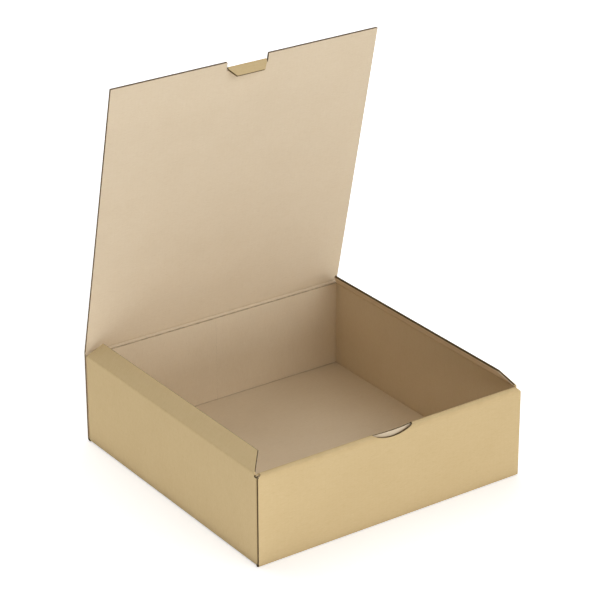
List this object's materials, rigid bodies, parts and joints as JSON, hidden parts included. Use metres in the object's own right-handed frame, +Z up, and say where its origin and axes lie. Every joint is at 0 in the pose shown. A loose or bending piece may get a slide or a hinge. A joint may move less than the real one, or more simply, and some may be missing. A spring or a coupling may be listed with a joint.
{
  "type": "folding carton with a tuck-tab lid",
  "caption": "Square shallow carton of brown corrugated board with a hinged lid, a tuck tab, dust flaps along the sides and a rolled-over front wall with a thumb notch.",
  "frame": {"origin": "middle of the base's underside", "axes": "+X to the right seen from the front, +Y to the back wall where the lid is hinged, +Z up"},
  "size_m": [0.22, 0.22, 0.2838],
  "materials": {
    "board": "matte"
  },
  "bodies": {
    "tray": {"tray": "board"},
    "lid": {"lid": "board"},
    "tuck_tab": {"tuck_tab": "board"},
    "left_dust_flap": {"left_dust_flap": "board"},
    "right_dust_flap": {"right_dust_flap": "board"}
  },
  "joints": [
    {"name": "lid_hinge", "type": "hinge", "parent": "tray", "child": "lid", "pos_m": [0, 0.10925, 0.07025], "axis": [-1, 0, 0], "range_deg": [-77.25, 120.75]},
    {"name": "tuck_tab_fold", "type": "hinge", "parent": "lid", "child": "tuck_tab", "pos_m": [0, 0.06209, 0.27868], "axis": [1, 0, 0], "range_deg": [-125, 15]},
    {"name": "left_flap_fold", "type": "hinge", "parent": "tray", "child": "left_dust_flap", "pos_m": [-0.10925, 0, 0.06845], "axis": [0, -1, 0], "range_deg": [-51.5, 80.5]},
    {"name": "right_flap_fold", "type": "hinge", "parent": "tray", "child": "right_dust_flap", "pos_m": [0.10925, 0, 0.06845], "axis": [0, 1, 0], "range_deg": [-51.5, 80.5]}
  ],
  "couplings": [
    {"joint": "left_flap_fold", "follows": "lid_hinge", "ratio": 0.66666},
    {"joint": "right_flap_fold", "follows": "lid_hinge", "ratio": 0.66666}
  ]
}
